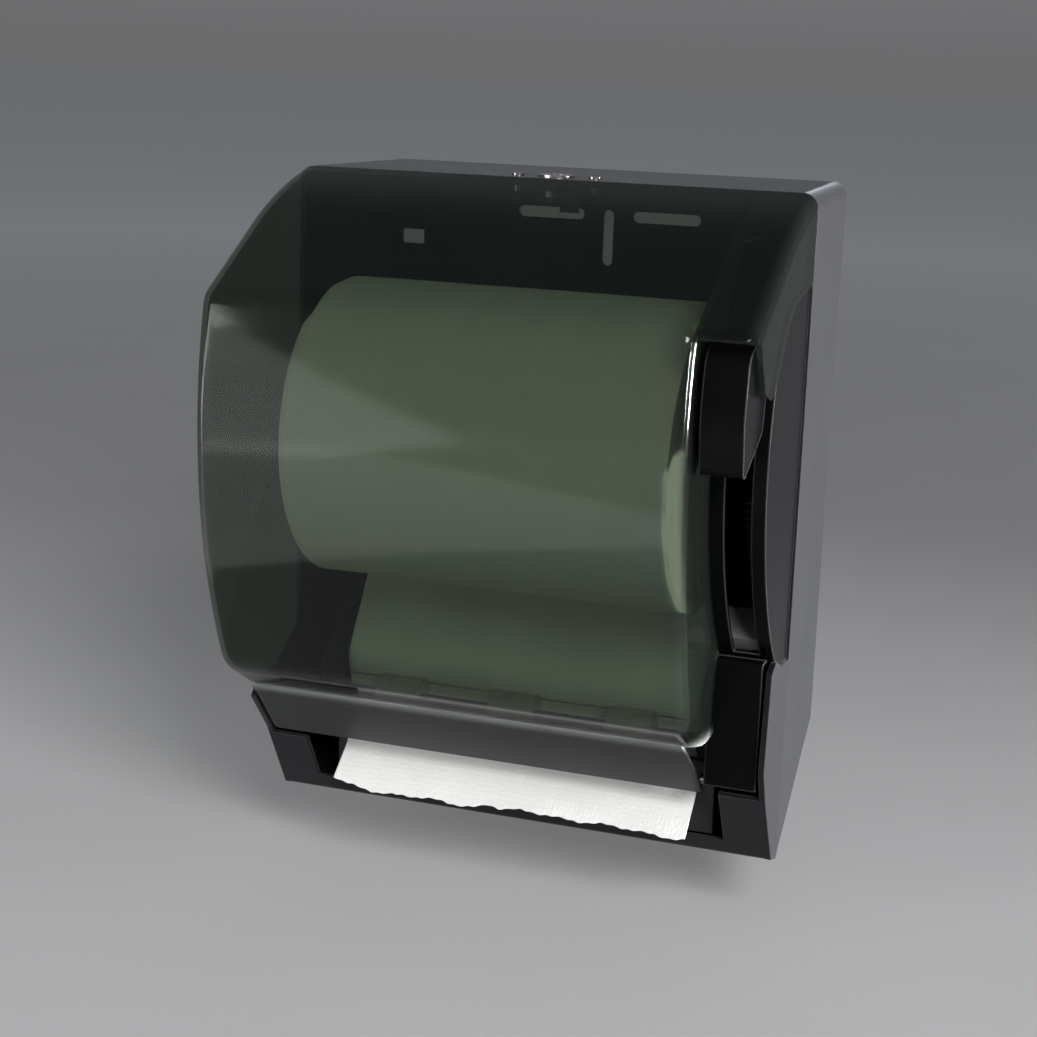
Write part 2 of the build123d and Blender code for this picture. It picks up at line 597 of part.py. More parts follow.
# Rubber stop at the foot of the arm slot
stop_face = ring(PIVOT, floor_r - FLOOR_WALL - 0.2, floor_r - 22) & outline(
    [PIVOT, polar(PIVOT, 2 * floor_r, ARM_SLOT_TO - 3.5), polar(PIVOT, 2 * floor_r, ARM_SLOT_TO + 1.0)])
nodes["lever_stop"] = slab(stop_face, shroud_x[1], arm_slot_x[1] - 1)

# Idler and drive pinion, between the shroud's wall and the lever
idler_tooth = 360.0 / IDLER_TEETH
idler = slab(gear_outline(IDLER_TEETH, IDLER, TRAIN_ANGLE + 180 + idler_tooth / 2), *gear_x)
idler += rod(IDLER, 8.0, shroud_x[1] + 0.3, gear_x[0])
nodes["idler_gear"] = idler - rod(IDLER, IDLER_PIN_R + RUNNING, 0, half)
pin_end = gear_x[1] + 0.3
nodes["idler_pin"] = rod(IDLER, IDLER_PIN_R, shroud_x[0], pin_end) + rod(IDLER, 6.5, pin_end, pin_end + 1.7)
pinion_tooth = 360.0 / PINION_TEETH
pinion = slab(gear_outline(PINION_TEETH, DRIVE, TRAIN_ANGLE + 180 + pinion_tooth / 2), *gear_x)
nodes["drive_pinion"] = pinion - rod(DRIVE, SHAFT_R, 0, half)

# Drive roller: a steel shaft, a plastic core and rubber sleeves
shaft_end = gear_x[1] + 1.5
nodes["drive_shaft"] = rod(DRIVE, SHAFT_R, frame_x[0] - 2.5, shaft_end)
DRIVE_CORE_R = 15.5
DRIVE_SHORT = 3.5           # roller's end, inside the towel's edge
drive_half = roll_half - DRIVE_SHORT
nodes["drive_core"] = tube(DRIVE, DRIVE_CORE_R, SHAFT_R, -drive_half, drive_half)
sleeves = Part()
for x in sleeve_at:
    sleeves += tube(DRIVE, DRIVE_R, DRIVE_CORE_R, x - SLEEVE_WIDTH / 2, x + SLEEVE_WIDTH / 2)
nodes["drive_sleeves"] = sleeves
bushes = Part()
for wall, flange in ((frame_x, 1), (shroud_x, -1)):
    inside = wall[1] if flange > 0 else wall[0]
    collar = (inside, inside + 1.6) if flange > 0 else (inside - 1.6, inside)
    bushes += tube(DRIVE, BUSH_R, SHAFT_R + RUNNING, *wall)
    bushes += tube(DRIVE, BUSH_R + 2, SHAFT_R + RUNNING, *collar)
nodes["roller_bushes"] = bushes
clips = Part()
for x in (frame_x[0] - 1.6, gear_x[1] + 0.2):
    clips += tube(DRIVE, 6.8, SHAFT_R, x, x + 1.0)
nodes["shaft_clips"] = clips

# Left frame plate, with a tab on the back plate, clear of the cover's hinge
nip_gap = PAPER + 2 * PAPER_GAP
PINCH = polar(DRIVE, DRIVE_R + nip_gap + PINCH_R, NIP_ANGLE)
BLOCK = 5.6                 # half a pinch block
RAIL_BELOW = 13.0           # tear bar's rail, below the pinch roller's axis
RAIL_HEIGHT = 6.0
rail_down = (PINCH[1] + RAIL_BELOW, PINCH[1] + RAIL_BELOW + RAIL_HEIGHT)
frame_top = DRIVE[1] - 24
frame_bottom = DRIVE[1] + 33
frame_nose = PINCH[0] + BLOCK + 2.4
frame_foot = HINGE[0] - HINGE_CLEAR_R - 0.2
left_plate = outline(
    [(SHELL, frame_top), (DRIVE[0] + 6, frame_top), (frame_nose, PINCH[1] - 14), (frame_nose, PINCH[1] + 6),
     (frame_foot, rail_down[0]), (frame_foot, rail_down[1] + 2), (DRIVE[0] / 2, frame_bottom),
     (SHELL, frame_bottom)],
    [0, 10, 6, 3, 2, 2, 0, 0])
left_frame = slab(left_plate, *frame_x)
left_frame += block(-tab_x - 6, frame_x[0] + 0.1, SHELL, tab_face, TABS[1] - TAB_HALF, TABS[1] + TAB_HALF)
left_frame -= studs(-tab_x, TABS[1], SCREW_R + SEAT, 0, 20)
left_frame -= rod(DRIVE, BUSH_R + SEAT, -half, 0)
nodes["left_frame"] = left_frame

# Pinch roller: a thin shaft with wheels, in sprung blocks, low in front of the drive roller
BLOCK_GAP = 2.0             # between the towel's edge and the pinch blocks
block_in = roll_half + BLOCK_GAP
nodes["pinch_shaft"] = rod(PINCH, PINCH_SHAFT_R, frame_x[1] + 0.6, shroud_x[0] - 0.9)
wheels = Part()
for x in sleeve_at:
    wheels += tube(PINCH, PINCH_R, PINCH_SHAFT_R, x - WHEEL_WIDTH / 2, x + WHEEL_WIDTH / 2)
nodes["pinch_wheels"] = wheels
pinch_blocks = Part()
for x0, x1 in ((frame_x[1], -block_in), (block_in, shroud_x[0])):
    pinch_blocks += block(x0, x1, PINCH[0] - BLOCK, PINCH[0] + BLOCK, PINCH[1] - BLOCK, PINCH[1] + BLOCK)
nodes["pinch_blocks"] = pinch_blocks - rod(PINCH, PINCH_SHAFT_R + RUNNING, -half, half)

# Tear bar on its rail, and the leaf springs that press the pinch blocks
sheet_pinch = PINCH_R + PAPER_GAP + PAPER / 2
tail_out = PINCH[0] - sheet_pinch
BAR_GAP = 2.0
BAR = 1.2
RAIL = 5.5
bar_out = tail_out + PAPER / 2 + BAR_GAP
rail_out = bar_out + BAR
rail_front = rail_out + RAIL
nodes["tear_bar_rail"] = block(frame_x[1], shroud_x[0], rail_out, rail_front, *rail_down)
LEAF = 0.6
leaf_out = PINCH[0] + BLOCK
leaf_back = PINCH[0] - BLOCK
leaf_top = PINCH[1] - 7
leaf_foot = PINCH[1] + 7.4
leaf_face = outline([
    (leaf_out, leaf_top), (leaf_out + LEAF, leaf_top), (leaf_out + LEAF, leaf_foot), (leaf_back, leaf_foot),
    (leaf_back, leaf_foot - LEAF), (leaf_out, leaf_foot - LEAF)])
leaves = slab(leaf_face, frame_x[1], -block_in - 0.8) + slab(leaf_face, block_in + 0.8, shroud_x[0])
nodes["pinch_springs"] = leaves
BAR_PAST = 3.5              # tear bar past the towel's edge
TEETH_PITCH = 5.0
bar_half = roll_half + BAR_PAST
BAR_BELOW = 6.5             # tooth roots below the rail
TEETH = 3.5
teeth_down = rail_down[1] + BAR_BELOW
bar_points = [(-bar_half, TOP - rail_down[0]), (bar_half, TOP - rail_down[0])]
tooth_count = round(2 * bar_half / TEETH_PITCH)
for i in range(tooth_count):
    x = bar_half - i * TEETH_PITCH
    bar_points += [(x, TOP - teeth_down), (x - TEETH_PITCH / 2, TOP - teeth_down - TEETH)]
bar_points.append((-bar_half, TOP - teeth_down))
bar_face = make_face(Polyline(*bar_points, close=True))
tear_bar = extrude(Plane.XZ.offset(bar_out) * bar_face, amount=BAR, dir=(0, -1, 0))
BAR_SCREW_R = 1.5
BAR_SCREW_IN = 25.0         # outer screws, in from the bar's ends
screw_down = (rail_down[0] + rail_down[1]) / 2
bar_screws = Part()
for x in (-bar_half + BAR_SCREW_IN, 0.0, bar_half - BAR_SCREW_IN):
    hole = studs(x, screw_down, BAR_SCREW_R + SEAT, bar_out - 1, rail_front + 1)
    tear_bar -= hole
    nodes["tear_bar_rail"] -= hole
    bar_screws += studs(x, screw_down, BAR_SCREW_R, bar_out, rail_front)
    bar_screws += studs(x, screw_down, 3.0, rail_front, rail_front + 1.8)
nodes["tear_bar"] = tear_bar
nodes["tear_bar_screws"] = bar_screws

# Chute guide behind the towel
guide_out = tail_out - PAPER / 2 - 0.9
GUIDE = 1.4
guide_back = guide_out - GUIDE
guide_top = DRIVE[1] + 14.3
guide_bend = TAIL_BEND - 4
guide_foot = guide_out - 1.5
guide = outline([
    (guide_back, guide_top), (guide_out, guide_top), (guide_out, guide_bend), (guide_foot, chute_bottom),
    (guide_foot - GUIDE + 0.3, chute_bottom), (guide_back, guide_bend)])
nodes["chute_guide"] = slab(guide, frame_x[1], shroud_x[0])

# Hinge pins of the cover
pins = rod(HINGE, PIN_R, -half + 1, LEFT_EAR + EAR + 1.6) + rod(HINGE, PIN_R, RIGHT_EAR - 1.6, shroud_x[1])
nodes["hinge_pins"] = pins

# Screws that hold the shroud, the frame and the arm bracket on the back plate

def back_screw(x, down, seat):
    return studs(x, down, SCREW_R, 0.4, seat) + studs(x, down, 4.0, seat, seat + 2.4)


nodes["shroud_screws"] = back_screw(tab_x, TABS[0], tab_face) + back_screw(tab_x, TABS[1], tab_face)
nodes["frame_screw"] = back_screw(-tab_x, TABS[1], tab_face)

# Roll: a wound towel on a cardboard core, between a fixed hub at the right and a swinging arm at the left
nodes["towel_roll"] = tube(ROLL, ROLL_R, CORE_R, -roll_half, roll_half)
nodes["roll_core"] = tube(ROLL, CORE_R, CORE_R - CORE_WALL, -roll_half, roll_half)
FLANGE_R = 26.0
FLANGE = 2.7
HUB_PLUG = 13.0
hub_x0 = roll_half + PAPER_GAP
HUB_GAP = 0.3
COLLAR_R = 8.0
right_hub = rod(ROLL, FLANGE_R, hub_x0, hub_x0 + FLANGE)
right_hub += rod(ROLL, CORE_R - CORE_WALL - HUB_GAP, hub_x0 - HUB_PLUG, hub_x0)
nodes["right_hub"] = right_hub - rod(ROLL, SPINDLE_R + RUNNING, 0, half)
right_spindle = rod(ROLL, SPINDLE_R, hub_x0 - HUB_PLUG - 1, shroud_x[1])
right_spindle += rod(ROLL, COLLAR_R, shroud_x[1], shroud_x[1] + 2.5)
right_spindle += tube(ROLL, COLLAR_R, SPINDLE_R, hub_x0 + FLANGE + HUB_GAP, shroud_x[0])
nodes["right_spindle"] = right_spindle
plug = Plane.YZ.offset(-hub_x0) * (Pos(*at(*ROLL)) * Circle(CORE_R - CORE_WALL - 1.2))
left_hub = extrude(plug, amount=HUB_PLUG, taper=22, dir=(1, 0, 0))
left_hub += rod(ROLL, FLANGE_R, -hub_x0 - FLANGE, -hub_x0)
nodes["left_hub"] = left_hub - rod(ROLL, SPINDLE_R + RUNNING, -half, 0)

# Left arm on an upright hinge pin, sprung inwards
ARM_PIN_R = 2.5
KNUCKLE_R = 5.0
ARM_HEAD = 20.0
arm_top = ROLL[1] - ARM_HALF
arm_low = ROLL[1] + ARM_HALF
arm_back = ARM_HINGE_OUT - 3
arm_neck = ARM_HINGE_OUT + 18
head_back = ROLL[0] - 6
head_front = ROLL[0] + 6
arm_side = outline(
    [(arm_back, arm_top), (arm_neck, arm_top), (head_back, ROLL[1] - ARM_HEAD),
     (head_front, ROLL[1] - ARM_HEAD), (ROLL[0] + ARM_HEAD, ROLL[1]), (head_front, ROLL[1] + ARM_HEAD),
     (head_back, ROLL[1] + ARM_HEAD), (arm_neck, arm_low), (arm_back, arm_low)],
    [0, 6, 10, 10, 18, 10, 10, 6, 0])
left_arm = slab(arm_side, *arm_plate_x)
left_arm += post(arm_hinge_x, ARM_HINGE_OUT, KNUCKLE_R, arm_top, arm_low)
left_arm += rod(ROLL, SPINDLE_R, arm_plate_x[1] - 1, -hub_x0 + HUB_PLUG + 1)
left_arm += rod(ROLL, COLLAR_R, arm_plate_x[1] - 0.5, -hub_x0 - FLANGE - HUB_GAP)
left_arm -= post(arm_hinge_x, ARM_HINGE_OUT, ARM_PIN_R + RUNNING, arm_top - 1, arm_low + 1)
nodes["left_arm"] = left_arm
EAR_GAP = 0.5
BRACKET_EAR = 5.5
bracket_top = arm_top - EAR_GAP - BRACKET_EAR
bracket_low = arm_low + EAR_GAP + BRACKET_EAR
bracket = block(arm_hinge_x - 14, arm_hinge_x + 6, SHELL, tab_face, bracket_top - 6, bracket_low + 6)
for down0, down1 in ((bracket_top, bracket_top + BRACKET_EAR), (bracket_low - BRACKET_EAR, bracket_low)):
    bracket += block(arm_hinge_x - KNUCKLE_R, arm_hinge_x + KNUCKLE_R, SHELL + 1, ARM_HINGE_OUT, down0, down1)
    bracket += post(arm_hinge_x, ARM_HINGE_OUT, KNUCKLE_R, down0, down1)
bracket -= post(arm_hinge_x, ARM_HINGE_OUT, ARM_PIN_R + SEAT, bracket_top - 1, bracket_low + 1)
bracket_screws = Part()
for bracket_down in bracket_screws_down:
    bracket -= studs(bracket_screw_x, bracket_down, SCREW_R + SEAT, 0, tab_face + 1)
    bracket_screws += back_screw(bracket_screw_x, bracket_down, tab_face)
nodes["bracket_screws"] = bracket_screws
nodes["arm_bracket"] = bracket
arm_pin = post(arm_hinge_x, ARM_HINGE_OUT, ARM_PIN_R, bracket_top - 1, bracket_low + 1)
nodes["arm_pin"] = arm_pin + post(arm_hinge_x, ARM_HINGE_OUT, ARM_PIN_R + 1.5, bracket_top - 2.6, bracket_top)

# Towel: the web from the back of the roll to the nip, and the tail out of the chute
sheet_roll = ROLL_R + PAPER_GAP + PAPER / 2
sheet_drive = DRIVE_R + PAPER_GAP + PAPER / 2
reach = hypot(DRIVE[0] - ROLL[0], DRIVE[1] - ROLL[1])
heading = degrees(atan2(DRIVE[1] - ROLL[1], DRIVE[0] - ROLL[0]))
turn = heading + degrees(acos((sheet_roll + sheet_drive) / reach))
leave = polar(ROLL, sheet_roll, turn)
land = polar(DRIVE, sheet_drive, turn + 180)
wrap = ring(DRIVE, sheet_drive + PAPER / 2, sheet_drive - PAPER / 2) & outline(
    [DRIVE, polar(DRIVE, 60, turn + 180), polar(DRIVE, 60, 360), polar(DRIVE, 60, 360 + NIP_ANGLE)])
web_face = trace(Line(at(*leave), at(*land)), line_width=PAPER) + wrap
nodes["towel_web"] = slab(web_face, -roll_half, roll_half)
tail_line = FilletPolyline(at(tail_out, PINCH[1]), at(tail_out, TAIL_BEND), at(*TAIL_END), radius=TAIL_R)
past_nip = ring(PINCH, sheet_pinch + PAPER / 2, sheet_pinch - PAPER / 2) & outline(
    [PINCH, polar(PINCH, 60, 180), polar(PINCH, 60, 180 + NIP_ANGLE)])
nodes["towel_tail"] = slab(trace(tail_line, line_width=PAPER) + past_nip, -roll_half, roll_half)

# Lock in the chassis top: barrel, nut, turning core and dog-leg cam, with a catch on the cover
lock_body = post(0, LOCK_OUT, LOCK_R, -0.2, LOCK_DEPTH) + post(0, LOCK_OUT, LOCK_R + 2.2, -1.6, 0)
nodes["lock_body"] = lock_body - post(0, LOCK_OUT, LOCK_CORE_R + RUNNING, -5, LOCK_DEPTH + 1)
NUT = 4.0
nut_face = Pos(0, -LOCK_OUT) * (RegularPolygon(LOCK_R + 3, 6) - Circle(LOCK_R + SEAT))
nodes["lock_nut"] = extrude(Plane.XY.offset(TOP - SHELL - NUT) * nut_face, amount=NUT, dir=(0, 0, 1))
CAM = 2.5
cam_down = (LOCK_DEPTH + 0.4, LOCK_DEPTH + 0.4 + CAM)
key_slot = Pos(0, -LOCK_OUT, TOP + 1.6) * Box(1.4, 6.4, 6)
core = post(0, LOCK_OUT, LOCK_CORE_R, -1.4, cam_down[0]) - key_slot
nodes["lock_core"] = core + post(0, LOCK_OUT, 2.5, *cam_down)
CAM_REACH = 16.0
FINGER = 14.0
cam = post(0, LOCK_OUT, 6.0, *cam_down) + block(-CAM_REACH - 2.5, 0, LOCK_OUT - 3, LOCK_OUT + 3, *cam_down)
cam += block(-CAM_REACH - 2.5, -CAM_REACH + 1.5, LOCK_OUT - 3, LOCK_OUT + FINGER, *cam_down)
nodes["lock_cam"] = cam - post(0, LOCK_OUT, 2.5, 0, 40)
nodes["cam_screw"] = post(0, LOCK_OUT, 4.5, cam_down[1], cam_down[1] + 2.2)
HEAD = 1.4
lock_screws = Part()
for x in (-LOCK_SCREW_X, LOCK_SCREW_X):
    head = post(x, LOCK_OUT, 3.4, -HEAD, 0) - Pos(x, -LOCK_OUT, TOP + HEAD) * Box(0.9, 5, HEAD)
    lock_screws += head + post(x, LOCK_OUT, SCREW_R, -0.1, 8)
nodes["lock_screws"] = lock_screws
keeper = block(-LOCK_SCREW_X - 5, LOCK_SCREW_X + 5, LOCK_OUT - 5, LOCK_OUT + 5, SHELL, SHELL + 1.5)
keeper -= post(0, LOCK_OUT, 12.4, 0, 20)
for x in (-LOCK_SCREW_X, LOCK_SCREW_X):
    keeper -= post(x, LOCK_OUT, SCREW_R + SEAT, 0, 20)
nodes["lock_plates"] = keeper
CATCH_X = (7.0, 17.0)
CATCH = 2.5
catch_out = (SEAM - 2, SEAM + 14)
catch_down = LOCK_DEPTH - 2
catch = block(*CATCH_X, SEAM + 2, catch_out[1], 0, catch_down) & cover_room
catch += block(*CATCH_X, catch_out[0], SEAM + 3, catch_down - CATCH, catch_down)
catch += block(*CATCH_X, catch_out[0], catch_out[0] + CATCH, catch_down - CATCH, cam_down[1] + 4.1)
nodes["cover_catch"] = catch

for name, shape in nodes.items():
    export_step(shape, f"parts/{name}.step")
for axis, centre in (("idler", IDLER), ("drive", DRIVE), ("pinch", PINCH)):
    print(axis, [round(v, 3) for v in centre])
print(len(nodes), "nodes")
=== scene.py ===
import math

import bmesh
import bpy
from mathutils import Matrix, Vector


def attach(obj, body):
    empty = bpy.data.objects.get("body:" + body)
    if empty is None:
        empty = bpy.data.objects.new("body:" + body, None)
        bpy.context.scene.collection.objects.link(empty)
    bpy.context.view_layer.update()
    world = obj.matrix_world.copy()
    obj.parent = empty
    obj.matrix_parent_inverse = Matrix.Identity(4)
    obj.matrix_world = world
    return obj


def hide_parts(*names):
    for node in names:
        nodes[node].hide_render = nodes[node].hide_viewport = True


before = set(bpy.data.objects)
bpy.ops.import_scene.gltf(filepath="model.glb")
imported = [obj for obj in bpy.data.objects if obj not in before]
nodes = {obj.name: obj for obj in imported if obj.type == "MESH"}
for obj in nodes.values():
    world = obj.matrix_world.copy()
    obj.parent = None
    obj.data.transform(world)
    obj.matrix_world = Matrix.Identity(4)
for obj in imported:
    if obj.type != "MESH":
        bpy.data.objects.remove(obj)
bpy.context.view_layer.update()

# Chassis: the black tray on the wall, with its cheeks and the frame of the chute. It is one ABS
# moulding with a fine spark-eroded grain, so light from the side turns it grey.
MM = 0.001
CHASSIS_DEEP = (0.0054, 0.0053, 0.0060)
CHASSIS_PALE = (0.0090, 0.0088, 0.0100)
# Worn edges, made paler still as a painted highlight for the glint of light along the rims.
CHASSIS_WEAR_AND_GLINT = (0.15, 0.15, 0.155)
CHASSIS_SHEEN = (0.88, 0.92, 1.0, 1.0)
CHASSIS_GRAIN = {"IOR": 1.25, "Sheen Weight": 0.115, "Sheen Roughness": 0.4, "Sheen Tint": CHASSIS_SHEEN}


class Value:
    """A socket of a material. Arithmetic on it adds Math nodes, and node() adds any other node."""

    def __init__(self, tree, socket=None):
        self.tree = tree
        self.socket = socket

    def node(self, kind, settings=None, sockets=None, output=0):
        made = self.tree.nodes.new("ShaderNode" + kind)
        for name, value in (settings or {}).items():
            setattr(made, name, value)
        for name, value in (sockets or {}).items():
            if isinstance(value, Value):
                self.tree.links.new(value.socket, made.inputs[name])
            else:
                made.inputs[name].default_value = value
        return Value(self.tree, made.outputs[output])

    def maths(self, operation, first, second):
        return self.node("Math", {"operation": operation}, {0: first, 1: second})

    def __add__(self, other):
        return self.maths("ADD", self, other)

    def __sub__(self, other):
        return self.maths("SUBTRACT", self, other)

    def __rsub__(self, other):
        return self.maths("SUBTRACT", other, self)

    def __mul__(self, other):
        return self.maths("MULTIPLY", self, other)

    __radd__ = __add__
    __rmul__ = __mul__


def finish(name, plain, surface):
    """A material of one Principled shader: plain numbers, and what surface() says varies over it."""
    material = bpy.data.materials.new(name)
    material.use_nodes = True
    tree = material.node_tree
    shader = tree.nodes["Principled BSDF"]
    for socket, number in plain.items():
        shader.inputs[socket].default_value = number
    for socket, value in surface(Value(tree)).items():
        tree.links.new(value.socket, shader.inputs[socket])
    return material


def shade(share, low, high):
    """A colour between two, by a share from 0 to 1."""
    ends = {0: share, 6: (*low, 1.0), 7: (*high, 1.0)}
    return share.node("Mix", {"data_type": "RGBA"}, ends, output=2)


def noise(start, scale, detail=2.0, stretch=(1.0, 1.0, 1.0)):
    """A cloud of about scale lumps to the metre, stretched along the axes."""
    place = start.node("TexCoord", output="Object")
    place = start.node("Mapping", {}, {"Vector": place, "Scale": stretch})
    return start.node("TexNoise", {}, {"Vector": place, "Scale": scale, "Detail": detail})


def soft_edge(start, radius):
    """The normal of a surface with its sharp edges rounded, and how near an edge a point is."""
    rounded = start.node("Bevel", {"samples": 6}, {"Radius": radius})
    plain = start.node("NewGeometry", output="Normal")
    along = start.node("VectorMath", {"operation": "DOT_PRODUCT"}, {0: rounded, 1: plain}, output="Value")
    return rounded, start.node("MapRange", {}, {"Value": along, "From Min": 0.99, "From Max": 0.72})


def relief(height, depth, strength, rounded=None):
    """A bump whose height of 1 is a depth in metres, on the rounded normal where there is one."""
    sockets = {"Height": height, "Distance": depth, "Strength": strength}
    if rounded:
        sockets["Normal"] = rounded
    return height.node("Bump", {}, sockets)


def dress(material, *names):
    """Gives CAD nodes a finish."""
    for name in names:
        nodes[name].data.materials.clear()
        nodes[name].data.materials.append(material)


def mix(share, low, high):
    """A colour between two colours that vary."""
    return share.node("Mix", {"data_type": "RGBA"}, {0: share, 6: low, 7: high}, output=2)


def chassis_grain(start):
    grain = noise(start, 1500.0, 3.0)
    flow = noise(start, 24.0, 4.0)
    rubbed_and_glint = noise(start, 180.0, 4.0)
    rounded, edge = soft_edge(start, 1.2 * MM)
    moulded = shade(flow, CHASSIS_DEEP, CHASSIS_PALE)
    return {
        # Part wear, part painted highlight: the rims turn pale as if worn and as if catching a glint.
        "Base Color": mix(edge * rubbed_and_glint * 0.5, moulded, (*CHASSIS_WEAR_AND_GLINT, 1.0)),
        "Roughness": 0.38 + 0.10 * flow + 0.06 * grain - 0.10 * edge,
        "Normal": relief(grain, 0.06 * MM, 0.5, rounded),
    }


dress(finish("chassis_black", CHASSIS_GRAIN, chassis_grain), "chassis_shell")

# Lever and its shroud: the press lever, and the housing with the arched channel that it runs in.
# Both are black mouldings from polished tools, so they stay glossy where the chassis is grained.
GLOSS_DEEP = (0.0021, 0.0021, 0.0025)
GLOSS_PALE = (0.0042, 0.0042, 0.0047)
# Painted highlight: the edges are painted pale in place of the light they catch.
GLOSS_EDGE_HIGHLIGHT = (0.13, 0.13, 0.135)


def polished_black(start):
    flow = noise(start, 30.0, 3.0)
    fine = noise(start, 700.0, 2.0)
    rounded, edge = soft_edge(start, 1.6 * MM)
    return {
        # Painted highlight: a pale base colour along every edge.
        "Base Color": mix(edge * 0.8, shade(flow, GLOSS_DEEP, GLOSS_PALE), (*GLOSS_EDGE_HIGHLIGHT, 1.0)),
        "Roughness": 0.12 + 0.14 * flow + 0.04 * fine,
        "Normal": relief(flow + 0.03 * fine, 0.4 * MM, 0.10, rounded),
    }


dress(finish("polished_black", {"IOR": 1.13}, polished_black), "lever_shroud", "lever")

# Left frame, chute guide, tear bar's rail and pinch blocks: the black carriers of the towel path.
# They are plain mouldings that nobody sees with the cover shut, so they are left matt.
CARRIER_DEEP = (0.012, 0.012, 0.013)
CARRIER_PALE = (0.022, 0.022, 0.024)


def matt_black(start):
    flow = noise(start, 40.0, 3.0)
    grain = noise(start, 1100.0, 2.0)
    rounded, edge = soft_edge(start, 0.6 * MM)
    return {
        "Base Color": shade(flow, CARRIER_DEEP, CARRIER_PALE),
        "Roughness": 0.50 + 0.14 * flow - 0.1 * edge,
        "Normal": relief(grain, 0.05 * MM, 0.4, rounded),
    }


dress(finish("carrier_black", {"IOR": 1.46}, matt_black),
      "left_frame", "chute_guide", "tear_bar_rail", "pinch_blocks")

# Gears, rollers, the left arm and the hubs: the working pieces inside, moulded in dark grey acetal.
# They are matt, with a faint flow pattern from the mould, and the towel dusts the pinch wheels pale.
ACETAL_DEEP = (0.035, 0.036, 0.038)
ACETAL_PALE = (0.055, 0.056, 0.060)
PAPER_DUST = (0.50, 0.50, 0.485)


def acetal(start):
    flow = noise(start, 60.0, 3.0, (1.0, 3.0, 3.0))
    grain = noise(start, 1200.0, 2.0)
    rounded, edge = soft_edge(start, 0.5 * MM)
    return {
        "Base Color": shade(flow, ACETAL_DEEP, ACETAL_PALE),
        "Roughness": 0.45 + 0.15 * flow - 0.1 * edge,
        "Normal": relief(grain, 0.05 * MM, 0.4, rounded),
    }


def dusted_acetal(start):
    dust = noise(start, 220.0, 3.0)
    surface = acetal(start)
    surface["Base Color"] = mix(0.4 + 0.7 * dust, surface["Base Color"], (*PAPER_DUST, 1.0))
    return surface


dress(finish("grey_acetal", {"IOR": 1.48}, acetal),
      "sector_gear", "idler_gear", "drive_pinion", "drive_core", "right_hub", "left_hub", "left_arm",
      "roller_bushes")
dress(finish("dusted_acetal", {"IOR": 1.48}, dusted_acetal), "pinch_wheels")

# Pins, the drive shaft, screws, the arm's bracket and the toothed tear bar: zinc-plated steel. Drawing
# and rolling leave fine lines along each piece, and the plating clouds it a little.
STEEL_DEEP = (0.42, 0.42, 0.43)
STEEL_PALE = (0.62, 0.61, 0.60)


def drawn_steel(start, deep, pale):
    """Steel between two tones, with the lines of drawing along the part's width."""
    cloud = noise(start, 90.0, 4.0)
    drawn = noise(start, 900.0, 2.0, (0.06, 1.0, 1.0))
    rounded, edge = soft_edge(start, 0.3 * MM)
    return {
        "Base Color": shade(cloud, deep, pale),
        "Roughness": 0.24 + 0.16 * cloud + 0.08 * drawn - 0.06 * edge,
        "Normal": relief(drawn, 0.03 * MM, 0.4, rounded),
    }


def plated_steel(start):
    return drawn_steel(start, STEEL_DEEP, STEEL_PALE)


dress(finish("plated_steel", {"Metallic": 1.0}, plated_steel),
      "shroud_screws", "lever_pin", "lever_spring", "idler_pin", "frame_screw", "tear_bar",
      "tear_bar_screws", "hinge_pins", "right_spindle", "arm_bracket", "bracket_screws", "arm_pin",
      "sector_screws", "drive_shaft", "shaft_clips")

# Lock cam, catch, nut and keepers, the pinch shaft and its leaf springs: blackened steel, which
# shows under the cover only by its bright edges.
BLACKENED_DEEP = (0.035, 0.035, 0.037)
BLACKENED_PALE = (0.085, 0.084, 0.082)


def blackened_steel(start):
    return drawn_steel(start, BLACKENED_DEEP, BLACKENED_PALE)


dress(finish("blackened_steel", {"Metallic": 1.0}, blackened_steel),
      "lock_nut", "lock_plates", "cover_catch", "lock_cam", "cam_screw", "pinch_shaft", "pinch_springs")

# Drive sleeves and the lever's stop: grey rubber, moulded and slightly dusty.
RUBBER_DEEP = (0.070, 0.070, 0.072)
RUBBER_PALE = (0.125, 0.125, 0.128)


def rubber(start):
    dust = noise(start, 140.0, 4.0)
    grain = noise(start, 900.0, 3.0)
    rounded, edge = soft_edge(start, 0.6 * MM)
    return {
        "Base Color": shade(dust, RUBBER_DEEP, RUBBER_PALE),
        "Roughness": 0.72 + 0.18 * dust - 0.08 * edge,
        "Normal": relief(grain, 0.10 * MM, 0.6, rounded),
    }


dress(finish("grey_rubber", {}, rubber), "drive_sleeves", "lever_stop")

# Roll core: a spiral-wound tube of brown board, with the seams of its plies round it.
BOARD_DEEP = (0.21, 0.135, 0.075)
BOARD_PALE = (0.34, 0.235, 0.145)
PLY_PITCH = 46.0            # seams to the metre


def spiral_board(start):
    fibre = noise(start, 500.0, 4.0, (0.35, 1.0, 1.0))
    place = start.node("TexCoord", output="Object")
    seams = start.node("TexWave", {"bands_direction": "X"},
                       {"Vector": place, "Scale": PLY_PITCH / 3, "Distortion": 0.4})
    return {
        "Base Color": shade(fibre, BOARD_DEEP, BOARD_PALE),
        "Roughness": 0.80 + 0.12 * fibre,
        "Normal": relief(fibre + seams, 0.08 * MM, 0.5),
    }


dress(finish("core_board", {}, spiral_board), "roll_core")

